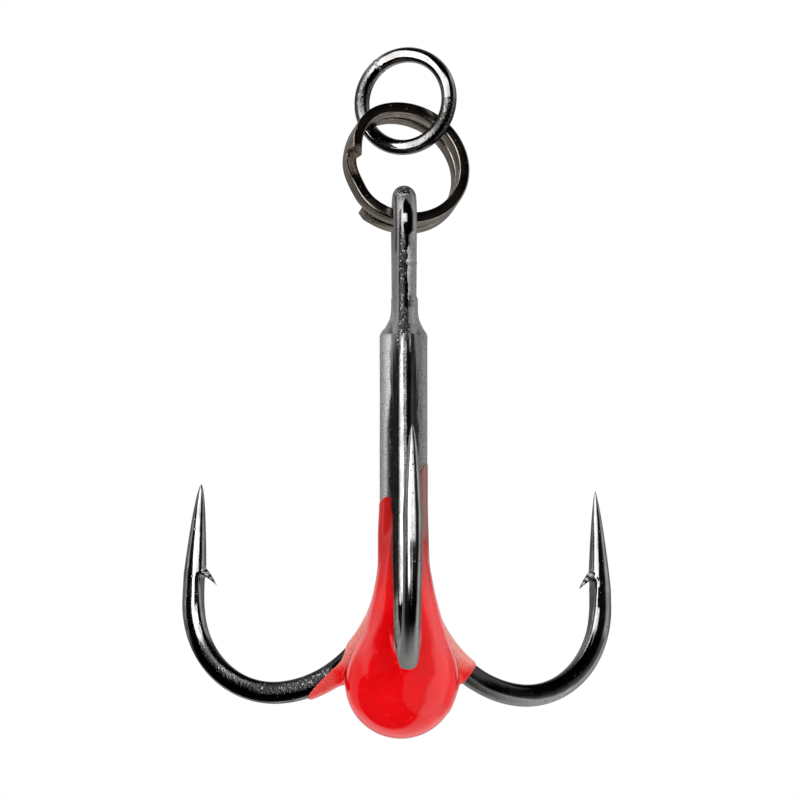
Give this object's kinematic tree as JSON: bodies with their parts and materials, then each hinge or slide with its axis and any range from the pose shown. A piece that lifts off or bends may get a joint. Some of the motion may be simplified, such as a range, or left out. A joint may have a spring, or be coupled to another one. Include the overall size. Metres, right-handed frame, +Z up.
{
  "type": "treble hook",
  "caption": "Black nickel treble hook with forged bends, barbed points and a red resin drop, hung by its eye from a split ring and a solid ring.",
  "frame": {"origin": "top of the solid ring's hole, where a line or a lure's link holds it", "axes": "+Z up along the shank towards the rings; -Y towards the eyed front hook's point; +X along the axis of the hook's eye, so the right hook is on the +X side"},
  "size_m": [0.0197, 0.0173, 0.0324],
  "materials": {
    "black_nickel": "polished black nickel plate",
    "ring_nickel": "rolled wire under black nickel, finely brushed along the wire",
    "plated_braze": "braze fillets under black nickel, slightly rough",
    "red_resin": "glossy cured resin, opaque red"
  },
  "bodies": {
    "solid_ring": {"solid_ring": "black_nickel"},
    "split_ring": {"split_ring": "ring_nickel"},
    "treble": {"eyed_hook": "black_nickel", "left_hook": "black_nickel", "right_hook": "black_nickel", "braze_front_left": "plated_braze", "braze_front_right": "plated_braze", "braze_rear": "plated_braze", "braze_core": "plated_braze", "eye_braze": "plated_braze", "resin_drop": "red_resin"}
  },
  "joints": [
    {"name": "ring_swivel", "type": "hinge", "parent": "solid_ring", "child": "split_ring", "pos_m": [0, 0, -0.00504], "axis": [0, 0, 1], "range_deg": [0, 100]},
    {"name": "hook_swing", "type": "hinge", "parent": "split_ring", "child": "treble", "pos_m": [-0.00012, -0.00138, -0.00806], "axis": [1, 0, 0], "range_deg": [-120, 120]}
  ]
}
